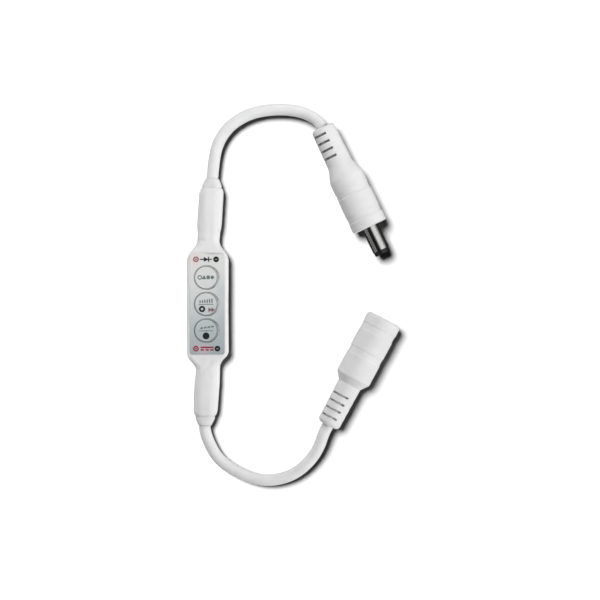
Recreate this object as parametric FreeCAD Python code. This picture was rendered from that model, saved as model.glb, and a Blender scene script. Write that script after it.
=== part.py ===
import FreeCAD, Part
import math
import os
from dataclasses import dataclass

# A small in-line dimmer for low-voltage LED strip.
# A board with three keys lies in a white shrink sleeve. A moulded plug hangs on its
# output cable and a moulded socket on its input cable.
# Millimetres. The origin is the centre of the sleeve's flat underside, +Z is up and
# +Y runs along the sleeve towards the output cable.

Vector = FreeCAD.Vector
CENTRE = Vector(0, 0, 0)
ALONG = Vector(1, 0, 0)
UP = Vector(0, 0, 1)

# Margin by which a cut runs past the face that it opens
overrun = 1.0

# Cable and its two cores
cable_diameter = 3.7
cable_fit = 0.05
core_diameter = 1.2
core_gap = 0.3
core_wire_diameter = 0.7

# Keys
key_names = ("key_lower", "key_middle", "key_upper")
key_diameter = 7.6
key_gap = 0.1
key_catch = 0.15
key_spacing = 0.35
key_line_x = -0.6
key_edge_round = 0.12
key_flange_thickness = 0.3
key_flange_clearance = 0.05
key_plunger_diameter = 2.0
key_plunger_length = 0.35

# Snap domes under the keys, their contacts and the film round them
dome_inset = 0.8
dome_height = 0.4
dome_thickness = 0.1
dome_clearance = 0.02
dome_side_gap = 0.2
contact_thickness = 0.05
contact_ring_width = 0.5
contact_centre_diameter = 1.6
spacer_thickness = 0.15
spacer_edge = 0.2

# Parts under the board: size across, size along, height
chip_size = (3.9, 4.9, 1.4)
chip_lift = 0.1
chip_lead_count = 4
chip_lead_pitch = 1.27
chip_lead_width = 0.4
chip_lead_thickness = 0.18
chip_lead_reach = 1.0
transistor_size = (6.5, 6.1, 2.0)
transistor_x = 0.4
transistor_tab_size = (5.2, 1.1, 0.5)
transistor_lead_size = (0.8, 2.4, 0.5)
transistor_lead_spacing = 2.28
regulator_size = (2.5, 4.5, 1.4)
regulator_lead_size = (0.9, 0.45, 0.35)
regulator_lead_pitch = 1.5
capacitor_size = (2.0, 1.25, 0.9)
capacitor_gap = 1.4
capacitor_count = 3
resistor_size = (1.6, 0.8, 0.5)
resistor_gap = 0.9
resistor_count = 4
end_cap_length = 0.35
end_cap_step = 0.05
case_chamfer = 0.2

# Solder joints of the cores, under the board's ends
joint_margin = 1.3
joint_spacing = 4.8
joint_diameter = 1.9
joint_tip_diameter = 1.0
joint_height = 1.15
core_bare_length = 1.6
core_board_gap = 0.03
core_first_run = 1.2
core_turn_in = 0.9
core_free_run = 5.7

# Room round the parts
row_gap = 1.75
across_gap = 0.8
board_side_margin = 0.8
floor_gap = 0.43

# Circuit board
board_thickness = 1.0
board_corner = 0.8
board_side_gap = 0.3

# Whole dimmer, over both inner sleeves: its length, and its middle along the sleeve
dimmer_length = 79.1
dimmer_shift = 0.65

# Label
label_width = 10.6
label_lap = 1.3
label_thickness = 0.25
label_corner = 0.8
label_shift_x = -0.45
label_shift_y = 0.1

# Inner sleeves on the cables, which show at both ends of the shrink sleeve
gland_width = 6.2
gland_wall = 0.45
gland_corner = 2.25
gland_fit = 0.1
gland_tip_side_wall = 0.25
gland_tip_wall = 0.375
gland_tip_corner = 2.0
gland_tip_length = 2.2
gland_nose_share = 0.35
gland_nose_hollow = 0.3
gland_stand_out = 3.1
gland_setback = 0.4

# Shrink sleeve
sleeve_wall = 0.6
body_corner = 1.0
least_corner = 0.3
section_flat = 0.1
flat_top_share = 0.25
grip_start_share = 0.5
sleeve_sections = 16
ground_gap = 0.05

# Output end of the sleeve, towards +Y
out_shoulder_lap = 0.6
out_shoulder_length = 5.7
out_shoulder_skew = 0.0
out_neck_width = 7.2
out_neck_slack = 0.15
out_neck_length = 5.2
out_bulge_slack = 0.3
out_tip_slack = 0.15
out_lean = 3.8
out_neck_shift = 0.0

# Input end of the sleeve, towards -Y
in_shoulder_gap = 0.7
in_shoulder_length = 4.9
in_shoulder_skew = -2.1
in_neck_width = 7.8
in_neck_slack = 0.25
in_neck_length = 5.0
in_bulge_slack = 0.5
in_tip_slack = 0.0
in_lean = 3.2
in_neck_shift = -0.12

# Relief slots, shared by the plug and the socket
slot_count = 4
slot_floor = 0.6

# Grip bands, shared by the plug and the socket
band_width = 2.4
band_depth = 0.16
band_slope = 0.25

# Inner moulding behind the contacts, shared by the plug and the socket
mould_skin = 1.12
tab_width = 1.6
tab_thickness = 0.35
tab_lap = 2.0
tab_gap = 0.6

# Plug on the output cable
plug_entry = (36.55, 56.45)
plug_heading = -64.4
plug_roll = -41.0
plug_length = 35.2
plug_relief_tip_radius = 3.85
plug_relief_radius = 4.12
plug_relief_round = 1.0
plug_relief_length = 13.3
plug_flare_length = 4.2
plug_flare_round = 3.0
plug_front_radius = 5.78
plug_taper = 0.16
plug_edge_round = 0.6
plug_slot_start = 2.3
plug_slot_pitch = 2.55
plug_slot_width = 0.75
plug_slot_arc = 102.0
plug_band_setbacks = (13.8, 5.5)

# Plug contacts: a 5.5 mm barrel with a 2.1 mm bore
barrel_diameter = 5.5
barrel_wall = 0.35
barrel_reach = 8.2
barrel_tail = 4.5
barrel_seat_rim = 0.25
barrel_collar_rim = 1.05
barrel_collar_length = 1.0
barrel_collar_back = 3.2
insulator_reach = 9.6
insulator_tip_step = 0.2
insulator_tip_round = 0.35
insulator_tail = 5.5
insulator_mouth_gap = 0.2
bore_diameter = 2.1
contact_wall = 0.45
contact_reach = 8.6
contact_tail = 7.0
contact_back_wall = 1.2
contact_fit = 0.02
plug_core_run = 8.1

# Socket on the input cable
socket_entry = (38.3, -38.7)
socket_heading = 61.9
socket_roll = 52.0
socket_length = 38.4
socket_relief_tip_radius = 3.7
socket_relief_radius = 3.85
socket_relief_round = 1.4
socket_relief_length = 14.7
socket_flare_length = 2.5
socket_flare_round = 0.5
socket_wall = 1.48
socket_taper = 0.06
socket_edge_round = 1.2
socket_slot_start = 2.85
socket_slot_pitch = 2.56
socket_slot_width = 0.7
socket_slot_arc = 130.0
socket_band_setbacks = (14.2, 5.9)

# Socket insert, centre pin and spring
socket_bore_gap = 0.35
insert_wall = 1.2
insert_length = 13.4
insert_recess = 0.3
insert_back_wall = 2.0
insert_lead_in = 0.4
pin_gap = 0.05
pin_recess = 1.0
pin_tip_round = 0.6
pin_seat_rim = 0.3
pin_collar_rim = 0.6
pin_collar_length = 0.8
pin_tail = 3.6
pin_tail_step = 0.3
socket_core_run = 1.9
spring_width = 2.4
spring_thickness = 0.25
spring_base_gap = 0.2
spring_bow_gap = 0.05
spring_bow = (0.3, 0.65, 0.92)
spring_tail = 3.2
channel_gap = 0.15
channel_floor = 1.1

# Cable routes between their ends, chosen by hand, each x, y and z
route_arc_share = 0.45
out_first_run = 7.0
out_route = (
    (3.7, 53.4, 2.6),
    (8.0, 58.6, 2.1),
    (14.9, 62.1, 1.9),
    (23.6, 62.9, 2.6),
    (29.9, 61.85, 4.2),
    (33.4, 60.55, 5.35),
)
out_last_run = 3.0
in_first_run = 2.0
in_route = (
    (0.55, -45.9, 2.8),
    (3.6, -49.9, 2.3),
    (9.2, -53.7, 1.95),
    (16.2, -56.6, 1.9),
    (22.4, -56.5, 2.1),
    (28.4, -54.1, 2.9),
    (32.9, -50.0, 4.0),
    (35.6, -45.6, 5.1),
)
in_last_run = 3.0

# Places of the cores, the keys and the domes
core_spacing = core_diameter + core_gap
key_flange_rim = key_gap + key_catch
key_pitch = key_diameter + 2 * key_flange_rim + key_spacing
key_centres = tuple((key_line_x, key_pitch * step) for step in (-1, 0, 1))
dome_diameter = key_diameter - 2 * dome_inset

# Rows of parts along the board, from its input end to its output end
TRANSISTOR_ROW, RESISTOR_ROW, CHIP_ROW, CAPACITOR_ROW = range(4)
transistor_run = transistor_tab_size[1] + transistor_size[1] + transistor_lead_size[1]
row_lengths = (transistor_run, resistor_size[1], max(chip_size[1], regulator_size[1]), capacitor_size[1])
joint_zone = joint_margin + joint_diameter / 2
board_length = 2 * joint_zone + sum(row_lengths) + (len(row_lengths) + 1) * row_gap
joint_row = board_length / 2 - joint_margin
jacket_end = board_length / 2 + core_free_run

# The chip and the regulator lie side by side and set the board's width
chip_span = chip_size[0] + 2 * chip_lead_reach
regulator_span = regulator_size[0] + regulator_lead_size[0]
chip_group = chip_span + across_gap + regulator_span
chip_x = (chip_span - chip_group) / 2
regulator_x = chip_group / 2 - regulator_lead_size[0] - regulator_size[0] / 2
board_width = chip_group + 2 * board_side_margin
body_width = board_width + 2 * (board_side_gap + sleeve_wall)
label_length = board_length + 2 * label_lap

# Heights, from the ground up
part_depth = max(transistor_size[2], chip_size[2] + chip_lift, regulator_size[2], capacitor_size[2],
                 joint_height)
board_bottom = sleeve_wall + floor_gap + part_depth
board_top = board_bottom + board_thickness
dome_base = board_top + contact_thickness
plunger_bottom = dome_base + dome_height + dome_clearance
flange_bottom = plunger_bottom + key_plunger_length
flange_top = flange_bottom + key_flange_thickness
sleeve_ceiling = flange_top + key_flange_clearance
body_height = sleeve_ceiling + sleeve_wall
label_top = body_height + label_thickness

# Inner sleeves and the tube that grips them
gland_height = cable_diameter + 2 * gland_wall
gland_tip_width = cable_diameter + 2 * gland_tip_side_wall
gland_tip_height = cable_diameter + 2 * gland_tip_wall
snug_width = gland_width + 2 * (gland_fit + sleeve_wall)
bulge_height = gland_height + 2 * (gland_fit + sleeve_wall)
cable_axis_height = bulge_height / 2 + ground_gap

# Contacts that follow the barrel and its bore
barrel_inner = barrel_diameter / 2 - barrel_wall
barrel_seat = barrel_diameter / 2 + barrel_seat_rim
barrel_collar = barrel_diameter / 2 + barrel_collar_rim
contact_outer = bore_diameter / 2 + contact_wall
pin_radius = bore_diameter / 2 - pin_gap
socket_bore = barrel_diameter / 2 + socket_bore_gap
insert_radius = socket_bore + insert_wall
socket_front_radius = insert_radius + socket_wall


def save(name, shape):
    """Write one named piece."""
    shape.exportStep("parts/" + name + ".step")


def box(width, length, height, centre_x, centre_y, low_z):
    """Upright block by its centre in plan and its lowest height."""
    corner = Vector(centre_x - width / 2, centre_y - length / 2, low_z)
    return Part.makeBox(width, length, height, corner)


def disc(radius, low_z, high_z, centre):
    """Upright cylinder between two heights."""
    return Part.makeCylinder(radius, high_z - low_z, Vector(centre[0], centre[1], low_z), UP)


def rounded_rectangle(width, height, corner):
    """Closed wire of four lines and four arcs about the origin of the XY plane."""
    x = width / 2
    y = height / 2
    bend = corner * (1 - math.sqrt(0.5))
    right = [Vector(x, corner - y, 0), Vector(x, y - corner, 0)]
    top = [Vector(x - corner, y, 0), Vector(corner - x, y, 0)]
    left = [Vector(-x, y - corner, 0), Vector(-x, corner - y, 0)]
    bottom = [Vector(corner - x, -y, 0), Vector(x - corner, -y, 0)]
    bends = [Vector(x - bend, y - bend, 0), Vector(bend - x, y - bend, 0),
             Vector(bend - x, bend - y, 0), Vector(x - bend, bend - y, 0)]
    sides = [right, top, left, bottom]
    edges = []
    for index, side in enumerate(sides):
        following = sides[(index + 1) % len(sides)]
        edges.append(Part.LineSegment(side[0], side[1]).toShape())
        edges.append(Part.Arc(side[1], bends[index], following[0]).toShape())
    return Part.Wire(edges)


def plate(width, length, thickness, corner, centre_x, centre_y, low_z):
    """Flat plate with rounded corners in plan."""
    outline = rounded_rectangle(width, length, corner)
    outline.translate(Vector(centre_x, centre_y, low_z))
    return Part.Face(outline).extrude(Vector(0, 0, thickness))


def direction(heading):
    """Unit vector in plan, in degrees from +X."""
    angle = math.radians(heading)
    return Vector(math.cos(angle), math.sin(angle), 0)


def lay(shape, start, heading, roll=0.0):
    """Lay a piece that is built along +X at its place, turned about its own axis by roll."""
    rolled = FreeCAD.Rotation(ALONG, roll)
    turned = FreeCAD.Rotation(UP, heading)
    placed = shape.copy()
    placed.Placement = FreeCAD.Placement(start, turned.multiply(rolled)).multiply(shape.Placement)
    return placed


def rod(radius, start, end, across=0.0):
    """Cylinder along +X between two stations, moved sideways by across."""
    return Part.makeCylinder(radius, end - start, Vector(start, across, 0), ALONG)


def ring(outer, inner, start, end):
    """Tube along +X between two stations."""
    return rod(outer, start, end).cut(rod(inner, start, end))


def bar(start, end, low_y, high_y, width):
    """Flat bar along +X between two stations and two heights in Y, centred in Z."""
    return Part.makeBox(end - start, high_y - low_y, width, Vector(start, low_y, -width / 2))


def round_front(shape, station, radius):
    """Round the edges that lie at a station along +X."""
    edges = [edge for edge in shape.Edges if abs(edge.BoundBox.XMin - station) < 1e-6]
    return shape.makeFillet(radius, edges)


def bent_edges(points, radii):
    """Lines along points, joined at each inner point by a tangent arc of its own radius."""
    edges = []
    last = points[0]
    for index in range(1, len(points) - 1):
        corner = points[index]
        before = corner - points[index - 1]
        after = points[index + 1] - corner
        half_turn = before.getAngle(after) / 2
        limit = route_arc_share * min(before.Length, after.Length)
        reach = min(radii[index - 1] * math.tan(half_turn), limit)
        radius = reach / math.tan(half_turn)
        enter = corner - before.normalize() * reach
        leave = corner + after.normalize() * reach
        inward = ((enter + leave) * 0.5 - corner).normalize()
        middle = corner + inward * (radius / math.cos(half_turn) - radius)
        edges.append(Part.LineSegment(last, enter).toShape())
        edges.append(Part.Arc(enter, middle, leave).toShape())
        last = leave
    edges.append(Part.LineSegment(last, points[-1]).toShape())
    return edges


def route_radii(points):
    """Arc radius at each inner point of a route, as large as its two runs allow."""
    radii = []
    for before, corner, after in zip(points, points[1:], points[2:]):
        turn = (corner - before).getAngle(after - corner)
        shorter = min((corner - before).Length, (after - corner).Length)
        radii.append(route_arc_share * shorter / math.tan(turn / 2))
    return radii


def route_wire(points):
    """Path of straight runs and tangent arcs."""
    return Part.Wire(bent_edges(points, route_radii(points)))


def tube_along(points, diameter):
    """Round solid that follows a route."""
    start_way = (points[1] - points[0]).normalize()
    section = Part.Wire([Part.Circle(points[0], start_way, diameter / 2).toShape()])
    return route_wire(points).makePipeShell([section], True, False)


def revolved(points, radii):
    """Solid of revolution about +X from an outline whose ends lie on the axis."""
    edges = bent_edges(points, radii)
    edges.append(Part.LineSegment(points[-1], points[0]).toShape())
    return Part.Face(Part.Wire(edges)).revolve(CENTRE, ALONG, 360)


def ease(share):
    """Smooth change from 1 to 0 as share goes from 0 to 1."""
    share = min(max(share, 0.0), 1.0)
    return (1 + math.cos(math.pi * share)) / 2


@dataclass(frozen=True)
class SleeveEnd:
    """One end of the shrink sleeve: how it narrows, leans and grips the cable."""

    side: int
    start: float
    shoulder: float
    skew: float
    neck_width: float
    neck_height: float
    neck_length: float
    bulge_width: float
    tip_width: float
    lean: float
    neck_shift: float

    @property
    def neck(self):
        """Distance from the middle at which the shoulder ends."""
        return self.start + self.shoulder

    @property
    def bulge(self):
        """Distance from the middle at which the inner sleeve fills the tube."""
        return self.neck + self.neck_length

    @property
    def end(self):
        """Distance from the middle at which the tube ends."""
        return dimmer_length / 2 + self.side * dimmer_shift - gland_stand_out

    def centre_x(self, reach):
        """Sideways place of the cable's axis at a distance from the sleeve's middle."""
        return self.neck_shift + self.side * math.tan(math.radians(self.lean)) * (reach - self.neck)

    def heading(self):
        """Direction in which the cable leaves, in degrees from +X."""
        return self.side * 90.0 - self.lean

    def point(self, reach):
        """Point of the cable's axis at a distance from the sleeve's middle."""
        return Vector(self.centre_x(reach), self.side * reach, cable_axis_height)

    def along(self, reach):
        """Length on the leaning axis of a distance along the sleeve."""
        return reach / math.cos(math.radians(self.lean))

    def form(self, reach):
        """Width, height, corner, sideways and upward place of the section at a distance from the middle."""
        share = (reach - self.start) / self.shoulder
        blend = ease(share)
        low_blend = ease((share - flat_top_share) / (1 - flat_top_share))
        neck_share = (reach - self.neck) / self.neck_length
        grow = 1 - ease((neck_share - grip_start_share) / (1 - grip_start_share))
        taper = max(0.0, (reach - self.bulge) / (self.end - self.bulge))
        width = self.neck_width + (self.bulge_width - self.neck_width) * grow
        width += (self.tip_width - self.bulge_width) * taper
        width += (body_width - width) * blend
        height = self.neck_height + (bulge_height - self.neck_height) * grow
        height += (body_height - height) * low_blend
        corner = body_corner + (height / 2 - section_flat - body_corner) * (1 - blend) ** 2
        shift = self.centre_x(reach)
        if reach < self.neck:
            shift = (self.neck_shift + self.skew * blend) * (1 - blend)
        lift = cable_axis_height + (body_height / 2 - cable_axis_height) * low_blend
        return width, height, corner, shift, lift

    def reaches(self, steps_past):
        """Evenly spaced distances of the sections, carried past the end by whole steps."""
        step = (self.end - self.start) / sleeve_sections
        return [self.start + step * index for index in range(sleeve_sections + 1 + steps_past)]


OUT_END = SleeveEnd(
    side=1,
    start=board_length / 2 - out_shoulder_lap,
    shoulder=out_shoulder_length,
    skew=out_shoulder_skew,
    neck_width=out_neck_width,
    neck_height=cable_diameter + 2 * (out_neck_slack + sleeve_wall),
    neck_length=out_neck_length,
    bulge_width=snug_width + out_bulge_slack,
    tip_width=snug_width + out_tip_slack,
    lean=out_lean,
    neck_shift=out_neck_shift,
)
IN_END = SleeveEnd(
    side=-1,
    start=board_length / 2 + in_shoulder_gap,
    shoulder=in_shoulder_length,
    skew=in_shoulder_skew,
    neck_width=in_neck_width,
    neck_height=cable_diameter + 2 * (in_neck_slack + sleeve_wall),
    neck_length=in_neck_length,
    bulge_width=snug_width + in_bulge_slack,
    tip_width=snug_width + in_tip_slack,
    lean=in_lean,
    neck_shift=in_neck_shift,
)
SLEEVE_ENDS = (("output", OUT_END), ("input", IN_END))


def sleeve_section(reach, width, height, corner, shift, lift, inset):
    """Rounded section of the sleeve in an upright plane across +Y."""
    section = rounded_rectangle(width - 2 * inset, height - 2 * inset, max(corner - inset, least_corner))
    section.rotate(CENTRE, ALONG, 90)
    section.translate(Vector(shift, reach, lift))
    return section


def sleeve_solid(inset, steps_past):
    """Sleeve's solid form, drawn in by inset and carried past its ends by whole steps."""
    middle = (body_width, body_height, body_corner, 0.0, body_height / 2)
    limits = [end.side * end.start for end in (IN_END, OUT_END)]
    solid = Part.makeLoft([sleeve_section(limit, *middle, inset) for limit in limits], True, True)
    for end in (OUT_END, IN_END):
        sections = []
        for reach in end.reaches(steps_past):
            sections.append(sleeve_section(end.side * reach, *end.form(reach), inset))
        solid = solid.fuse(Part.makeLoft(sections, True, True))
    return solid.removeSplitter()


def make_sleeve():
    """White shrink sleeve with a round opening over each key."""
    sleeve = sleeve_solid(0.0, 0).cut(sleeve_solid(sleeve_wall, 1))
    for centre in key_centres:
        sleeve = sleeve.cut(disc(key_diameter / 2 + key_gap, sleeve_ceiling - overrun, label_top, centre))
    save("shrink_sleeve", sleeve)


def make_label():
    """Silver face label with the same openings."""
    size = (label_width, label_length, label_thickness, label_corner)
    label = plate(*size, label_shift_x, label_shift_y, body_height)
    for centre in key_centres:
        label = label.cut(disc(key_diameter / 2 + key_gap, body_height, label_top, centre))
    save("face_label", label)


def make_keys():
    """Three round keys, each with a flange that holds it in and a plunger on its dome."""
    for name, centre in zip(key_names, key_centres):
        cap = disc(key_diameter / 2, flange_top, label_top, centre)
        rim = [edge for edge in cap.Edges if abs(edge.BoundBox.ZMin - label_top) < 1e-6]
        cap = cap.makeFillet(key_edge_round, rim)
        flange = disc(key_diameter / 2 + key_flange_rim, flange_bottom, flange_top, centre)
        plunger = disc(key_plunger_diameter / 2, plunger_bottom, flange_bottom, centre)
        save(name, cap.fuse([flange, plunger]).removeSplitter())


def dome_cap(height, half_span, centre):
    """Solid part of a ball above the contact plane."""
    radius = (half_span ** 2 + height ** 2) / (2 * height)
    ball = Part.makeSphere(radius, Vector(centre[0], centre[1], dome_base + height - radius))
    return ball.common(disc(half_span, dome_base, dome_base + height, centre))


def make_domes():
    """Snap domes on their contacts, and the film that keeps them in place."""
    half_span = dome_diameter / 2
    size = (board_width - 2 * spacer_edge, board_length - 2 * spacer_edge, spacer_thickness, board_corner)
    spacer = plate(*size, 0, 0, board_top)
    contacts = []
    for name, centre in zip(key_names, key_centres):
        hollow = dome_cap(dome_height - dome_thickness, half_span - dome_thickness, centre)
        save(name.replace("key", "snap_dome"), dome_cap(dome_height, half_span, centre).cut(hollow))
        spacer = spacer.cut(disc(half_span + dome_side_gap, board_top, dome_base + spacer_thickness, centre))
        outer = disc(half_span, board_top, dome_base, centre)
        contacts.append(outer.cut(disc(half_span - contact_ring_width, board_top, dome_base, centre)))
        contacts.append(disc(contact_centre_diameter / 2, board_top, dome_base, centre))
    save("dome_spacer", spacer)
    save("dome_contacts", Part.makeCompound(contacts))


def make_board():
    """Circuit board with rounded corners."""
    save("circuit_board", plate(board_width, board_length, board_thickness, board_corner, 0, 0, board_bottom))


def row_start(row):
    """Where a row of parts begins along the board."""
    return joint_zone - board_length / 2 + row_gap * (row + 1) + sum(row_lengths[:row])


def row_middle(row):
    """Where the middle of a row of parts lies along the board."""
    return row_start(row) + row_lengths[row] / 2


def hang(size, centre_x, centre_y, drop=0.0):
    """Block that hangs under the board, or lower by drop."""
    width, length, height = size
    return box(width, length, height, centre_x, centre_y, board_bottom - drop - height)


def chamfered(case):
    """Case with its lower edges broken, as a mould leaves them."""
    low = case.BoundBox.ZMin
    return case.makeChamfer(case_chamfer, [edge for edge in case.Edges if edge.BoundBox.ZMax - low < 1e-6])


def lead_outline(foot_x, knee_x, knee_z):
    """Bent lead in an upright plane: flat foot on the board, then a step up to the case."""
    thickness = chip_lead_thickness
    step = (foot_x + knee_x) / 2
    slant = math.copysign(thickness, knee_x - foot_x)
    top = board_bottom
    points = [(foot_x, top), (step, top), (step + slant, knee_z + thickness), (knee_x, knee_z + thickness),
              (knee_x, knee_z), (step, knee_z), (step - slant, top - thickness), (foot_x, top - thickness)]
    corners = [Vector(x, 0, z) for x, z in points + points[:1]]
    return Part.Face(Part.makePolygon(corners))


def make_chip():
    """Control chip with bent leads on both sides."""
    width, length, height = chip_size
    chip_y = row_middle(CHIP_ROW)
    leads = []
    for side in (-1, 1):
        edge_x = chip_x + side * width / 2
        outline = lead_outline(edge_x + side * chip_lead_reach, edge_x, board_bottom - height / 2)
        for index in range(chip_lead_count):
            lead = outline.extrude(Vector(0, chip_lead_width, 0))
            offset = (index - (chip_lead_count - 1) / 2) * chip_lead_pitch
            lead.translate(Vector(0, chip_y + offset - chip_lead_width / 2, 0))
            leads.append(lead)
    save("control_chip", chamfered(hang(chip_size, chip_x, chip_y, chip_lift)))
    save("chip_leads", Part.makeCompound(leads))


def make_transistor():
    """Power transistor that switches the strip, with its tab and two legs."""
    tab_y = row_start(TRANSISTOR_ROW) + transistor_tab_size[1] / 2
    case_y = tab_y + (transistor_tab_size[1] + transistor_size[1]) / 2
    leg_y = case_y + (transistor_size[1] + transistor_lead_size[1]) / 2
    leads = [hang(transistor_tab_size, transistor_x, tab_y)]
    for side in (-1, 1):
        leads.append(hang(transistor_lead_size, transistor_x + side * transistor_lead_spacing, leg_y))
    save("power_transistor", chamfered(hang(transistor_size, transistor_x, case_y)))
    save("transistor_leads", Part.makeCompound(leads))


def make_regulator():
    """Small voltage regulator with three short leads."""
    regulator_y = row_middle(CHIP_ROW)
    lead_x = regulator_x + (regulator_size[0] + regulator_lead_size[0]) / 2
    places = [regulator_y + step * regulator_lead_pitch for step in (-1, 0, 1)]
    save("voltage_regulator", chamfered(hang(regulator_size, regulator_x, regulator_y)))
    save("regulator_leads", Part.makeCompound([hang(regulator_lead_size, lead_x, y) for y in places]))


def chip_row(size, count, gap, row):
    """Row of two-ended surface parts: a body between two end caps, all one solid."""
    length, width, height = size
    body_size = (length - 2 * end_cap_length, width - 2 * end_cap_step, height - end_cap_step)
    cap_size = (end_cap_length, width, height)
    parts = []
    for index in range(count):
        x = (index - (count - 1) / 2) * (length + gap)
        y = row_middle(row)
        caps = [hang(cap_size, x + side * (length - end_cap_length) / 2, y) for side in (-1, 1)]
        parts.append(hang(body_size, x, y).fuse(caps))
    return Part.makeCompound(parts)


def make_small_parts():
    """Capacitors and resistors under the board."""
    save("chip_capacitors", chip_row(capacitor_size, capacitor_count, capacitor_gap, CAPACITOR_ROW))
    save("chip_resistors", chip_row(resistor_size, resistor_count, resistor_gap, RESISTOR_ROW))


def make_cores_and_joints():
    """Red and black cores from each cable's jacket to their solder joints."""
    joints = []
    height = board_bottom - core_diameter / 2 - core_board_gap
    for label, end in SLEEVE_ENDS:
        inward = direction(end.heading() + 180)
        across = direction(end.heading() - 90 * end.side)
        for side, colour in ((-1, "red"), (1, "black")):
            start = end.point(jacket_end) + across * (side * core_spacing / 2)
            pad_x = side * joint_spacing / 2
            turn_in = Vector(pad_x, end.side * (joint_row + core_bare_length + core_turn_in), height)
            stripped = Vector(pad_x, end.side * (joint_row + core_bare_length / 2), height)
            core = tube_along([start, start + inward * core_first_run, turn_in, stripped], core_diameter)
            wire_way = Vector(0, -end.side, 0)
            core = core.fuse(Part.makeCylinder(core_wire_diameter / 2, core_bare_length, stripped, wire_way))
            foot = Vector(pad_x, end.side * joint_row, board_bottom - joint_height)
            blob = Part.makeCone(joint_tip_diameter / 2, joint_diameter / 2, joint_height, foot, UP)
            joints.append(blob.cut(core))
            save(label + "_core_" + colour, core.removeSplitter())
    save("solder_joints", Part.makeCompound(joints))


def gland_section(station, width, height, corner):
    """Oval section of an inner sleeve, in an upright plane across +X."""
    section = rounded_rectangle(width, height, corner)
    section.rotate(CENTRE, Vector(1, 1, 1), 120)
    section.translate(Vector(station, 0, 0))
    return section


def make_glands():
    """Inner sleeves on the cables and the cable's jacket inside them."""
    full = (gland_width, gland_height, gland_corner)
    tip = (gland_tip_width, gland_tip_height, gland_tip_corner)
    hollow = (gland_nose_hollow, 0.0, 0.0)
    half = [(low + high) / 2 - less for low, high, less in zip(tip, full, hollow)]
    nose = Part.makeLoft([gland_section(0, *tip), gland_section(gland_tip_length * gland_nose_share, *half),
                          gland_section(gland_tip_length, *full)], True, False)
    for label, end in SLEEVE_ENDS:
        outside = end.end + gland_stand_out
        inner_end = end.along(outside - end.bulge - gland_setback)
        grip = [gland_section(station, *full) for station in (gland_tip_length, inner_end)]
        straight = Part.makeLoft(grip, True, True)
        gland = nose.fuse(straight).removeSplitter()
        gland = gland.cut(rod(cable_diameter / 2 + cable_fit, -overrun, inner_end + overrun))
        jacket = rod(cable_diameter / 2, 0, end.along(outside - jacket_end))
        save(label + "_inner_sleeve", lay(gland, end.point(outside), end.heading() + 180))
        save(label + "_jacket_end", lay(jacket, end.point(outside), end.heading() + 180))


@dataclass(frozen=True)
class Moulding:
    """Soft outer moulding of the plug or the socket, built along +X from the cable's entry."""

    entry: tuple
    heading: float
    roll: float
    length: float
    relief_tip_radius: float
    relief_radius: float
    relief_round: float
    relief_length: float
    flare_length: float
    flare_round: float
    front_radius: float
    taper: float
    edge_round: float
    slot_start: float
    slot_pitch: float
    slot_width: float
    slot_arc: float
    band_setbacks: tuple
    core_run: float

    @property
    def place(self):
        """Start, heading and roll, with the widest end resting on the ground."""
        return Vector(self.entry[0], self.entry[1], self.front_radius), self.heading, self.roll

    @property
    def body_start(self):
        """Station at which the flare ends."""
        return self.relief_length + self.flare_length

    @property
    def core_radius(self):
        """Radius of the inner moulding."""
        return self.front_radius - self.taper - mould_skin

    def body_radius(self, station):
        """Radius of the slightly tapered body."""
        share = (station - self.body_start) / (self.length - self.body_start)
        return self.front_radius - self.taper * (1 - share)

    def outline(self):
        """Solid form: relief, flare, banded body and rounded front."""
        points = [(0, 0), (0, self.relief_tip_radius), (self.relief_length, self.relief_radius),
                  (self.body_start, self.body_radius(self.body_start))]
        rounds = [self.relief_round, self.flare_round, self.flare_round]
        for setback in self.band_setbacks:
            start = self.length - setback
            stop = start + band_width
            points += [(start, self.body_radius(start)),
                       (start + band_slope, self.body_radius(start) - band_depth),
                       (stop - band_slope, self.body_radius(stop) - band_depth),
                       (stop, self.body_radius(stop))]
            rounds += [band_depth] * 4
        points += [(self.length, self.front_radius), (self.length, 0)]
        rounds.append(self.edge_round)
        return revolved([Vector(x, y, 0) for x, y in points], rounds)

    def slots(self):
        """Cutters of the two rows of relief slots, each row on one side of the cable."""
        floor = cable_diameter / 2 + slot_floor
        top = self.relief_radius + overrun
        cutters = []
        for index in range(slot_count):
            low = self.slot_start + index * self.slot_pitch - self.slot_width / 2
            high = low + self.slot_width
            corners = [(low, floor), (high, floor), (high, top), (low, top), (low, floor)]
            section = Part.Face(Part.makePolygon([Vector(x, y, 0) for x, y in corners]))
            for row in (0, 180):
                cutter = section.revolve(CENTRE, ALONG, self.slot_arc)
                cutter.rotate(CENTRE, ALONG, row - self.slot_arc / 2)
                cutters.append(cutter)
        return cutters

    def shell(self, core_end):
        """Outer moulding round the cable and the inner moulding, which ends at core_end."""
        cable_bore = rod(cable_diameter / 2 + cable_fit, -overrun, self.body_start)
        core_bore = rod(self.core_radius, self.body_start, core_end)
        return self.outline().cut(self.slots() + [cable_bore, core_bore])


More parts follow.
